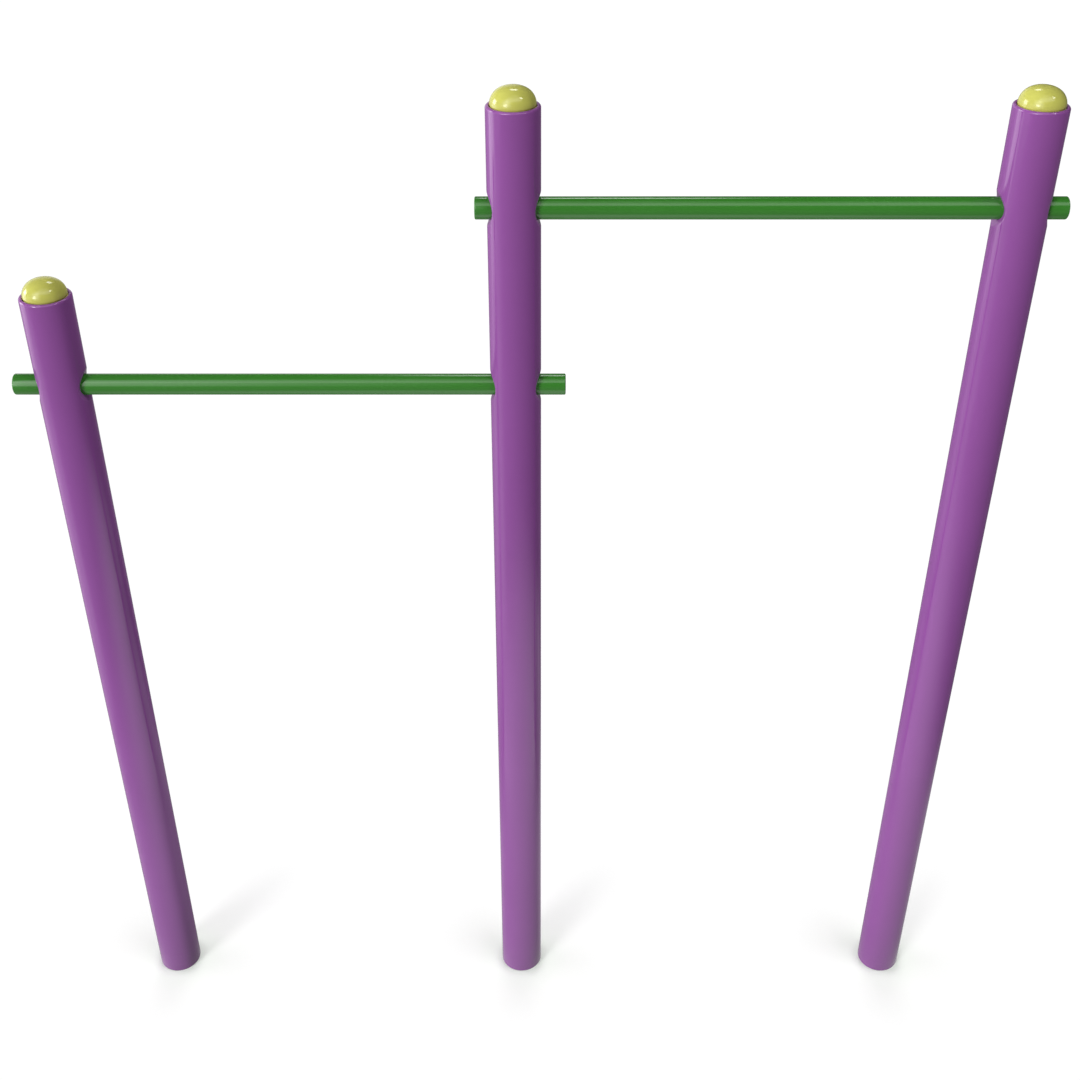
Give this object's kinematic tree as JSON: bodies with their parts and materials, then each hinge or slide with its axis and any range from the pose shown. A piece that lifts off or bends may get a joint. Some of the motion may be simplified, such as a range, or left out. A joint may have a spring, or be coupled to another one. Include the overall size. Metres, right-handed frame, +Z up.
{
  "type": "outdoor pull-up bar",
  "caption": "Stepped outdoor pull-up bar: round posts in a line carry level bars at staggered heights, passed through dished holes and locked from behind, under domed caps.",
  "frame": {"origin": "centre of the middle post's foot, on the ground", "axes": "+Z up along the posts, +X along the bars from the short post to the tall posts, +Y away from the viewer towards the side that the locking bolts enter from"},
  "size_m": [2.0348, 0.1098, 2.3024],
  "materials": {
    "post_purple": "glossy purple powder coat on steel tube",
    "bar_green": "glossy leaf-green powder coat on steel tube",
    "cap_lime": "glossy moulded yellow-green",
    "plug_green": "satin moulded green",
    "bolt_steel": "bright stainless, turned and rolled",
    "slug_steel": "dull zinc-plated bar"
  },
  "bodies": {
    "root": {"short_post": "post_purple", "middle_post": "post_purple", "tall_post": "post_purple", "low_bar": "bar_green", "high_bar": "bar_green", "short_post_cap": "cap_lime", "middle_post_cap": "cap_lime", "tall_post_cap": "cap_lime", "low_bar_left_plug": "plug_green", "low_bar_right_plug": "plug_green", "high_bar_left_plug": "plug_green", "high_bar_right_plug": "plug_green", "short_post_foot": "post_purple", "middle_post_foot": "post_purple", "tall_post_foot": "post_purple", "short_low_bolt": "bolt_steel", "short_low_washer": "bolt_steel", "short_low_slug": "slug_steel", "middle_low_bolt": "bolt_steel", "middle_low_washer": "bolt_steel", "middle_low_slug": "slug_steel", "middle_high_bolt": "bolt_steel", "middle_high_washer": "bolt_steel", "middle_high_slug": "slug_steel", "tall_high_bolt": "bolt_steel", "tall_high_washer": "bolt_steel", "tall_high_slug": "slug_steel"}
  },
  "joints": []
}
